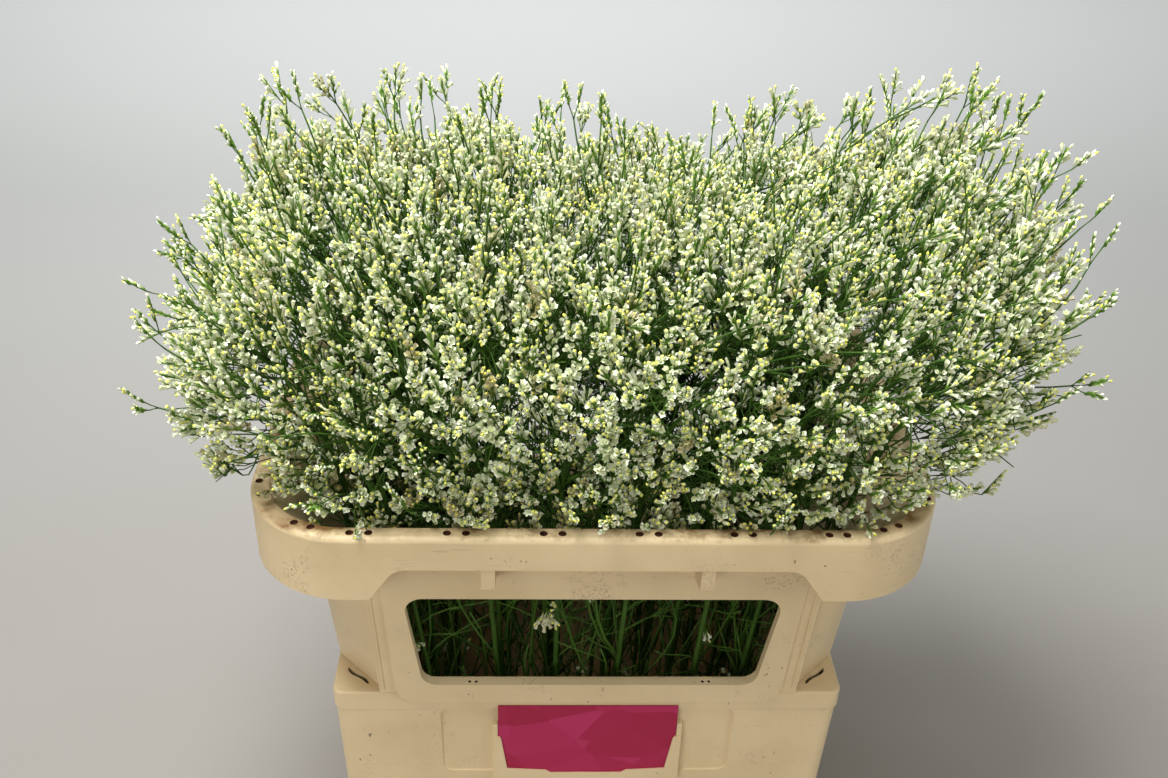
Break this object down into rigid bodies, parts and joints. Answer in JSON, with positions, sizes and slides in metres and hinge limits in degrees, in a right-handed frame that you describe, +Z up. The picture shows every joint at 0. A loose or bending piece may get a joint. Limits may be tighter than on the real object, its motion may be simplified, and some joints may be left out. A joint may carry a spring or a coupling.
{
  "type": "cut statice in a flower bucket with collar",
  "caption": "Bucketful of cut white and yellow statice: wiry forked stems fan out over a plastic transport bucket with a flared, windowed collar and a label pocket.",
  "frame": {"origin": "middle of the bucket's underside, on the surface it stands on", "axes": "+Z up along the stems, -Y towards the long side with the label, +X to the right seen from that side"},
  "size_m": [0.6651, 0.422, 0.6987],
  "materials": {
    "bucket_plastic": "cream moulded plastic, scuffed",
    "collar_plastic": "cream moulded plastic, grimy rim and scuffs",
    "card": "plain magenta printed card, satin",
    "statice": "green stems with papery white calyxes and lemon-yellow buds"
  },
  "bodies": {
    "root": {"bucket": "bucket_plastic", "collar": "collar_plastic", "label_card": "card", "stem_01": "statice", "stem_02": "statice", "stem_03": "statice", "stem_04": "statice", "stem_05": "statice", "stem_06": "statice", "stem_07": "statice", "stem_08": "statice", "stem_09": "statice", "stem_10": "statice", "stem_11": "statice", "stem_12": "statice", "stem_13": "statice", "stem_14": "statice", "stem_15": "statice", "stem_16": "statice", "stem_17": "statice", "stem_18": "statice", "stem_19": "statice", "stem_20": "statice", "stem_21": "statice", "stem_22": "statice", "stem_23": "statice", "stem_24": "statice", "stem_25": "statice", "stem_26": "statice", "stem_27": "statice", "stem_28": "statice", "stem_29": "statice", "stem_30": "statice", "stem_31": "statice", "stem_32": "statice", "stem_33": "statice", "stem_34": "statice", "stem_35": "statice", "stem_36": "statice", "stem_37": "statice", "stem_38": "statice", "stem_39": "statice", "stem_40": "statice", "stem_41": "statice", "stem_42": "statice", "stem_43": "statice", "stem_44": "statice", "stem_45": "statice", "stem_46": "statice", "stem_47": "statice", "stem_48": "statice"}
  },
  "joints": []
}
